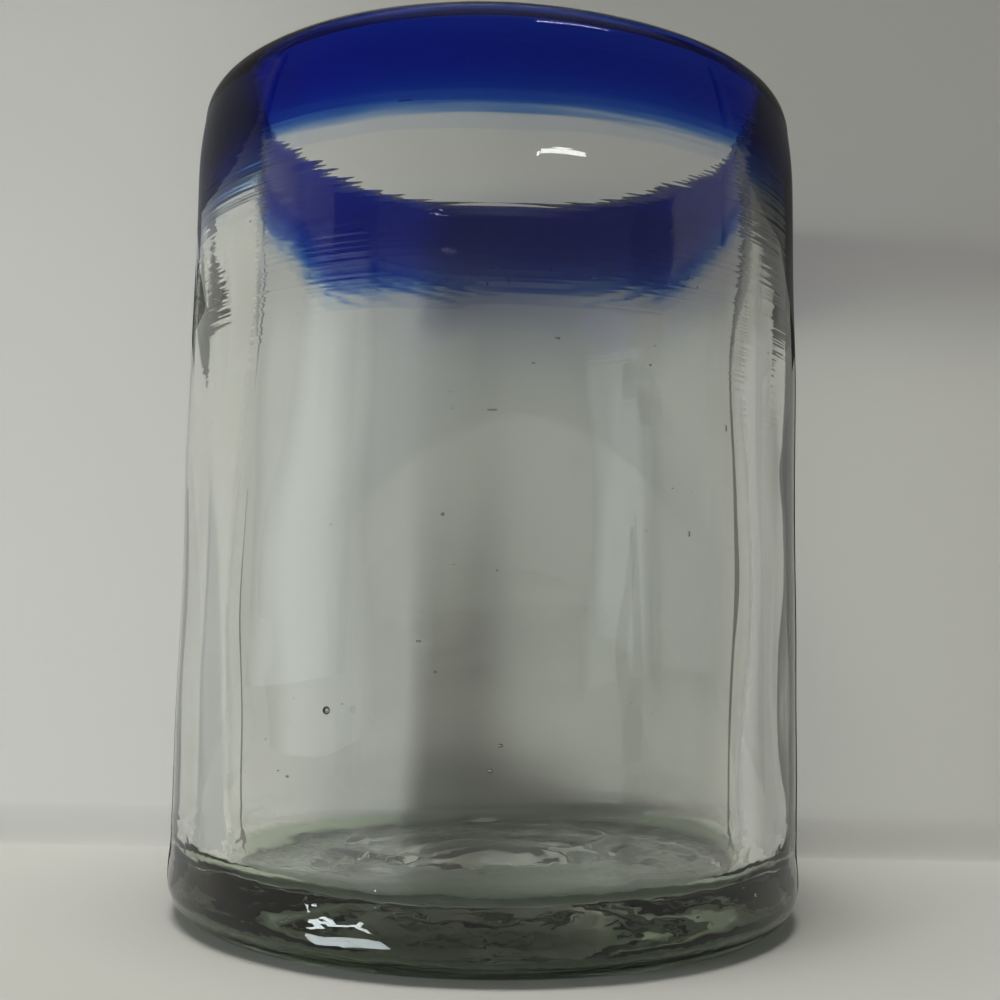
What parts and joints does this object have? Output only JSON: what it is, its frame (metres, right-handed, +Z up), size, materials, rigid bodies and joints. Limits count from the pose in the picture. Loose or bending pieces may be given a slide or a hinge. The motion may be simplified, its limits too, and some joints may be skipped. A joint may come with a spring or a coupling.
{
  "type": "tumbler",
  "caption": "Heavy hand-blown straight-sided drinking tumbler in clear glass with a thick kicked base and a cobalt glass wrap fused round the lip",
  "frame": {"origin": "middle of the resting ring on the underside, on the surface the glass stands on", "axes": "+Z up along the axis of revolution, from the base to the lip; X and Y are any two directions across the glass"},
  "size_m": [0.0832, 0.0832, 0.108],
  "materials": {
    "clear_glass": "gloss",
    "cobalt_glass": "gloss"
  },
  "bodies": {
    "root": {"clear_body": "clear_glass", "blue_rim": "cobalt_glass"}
  },
  "joints": []
}
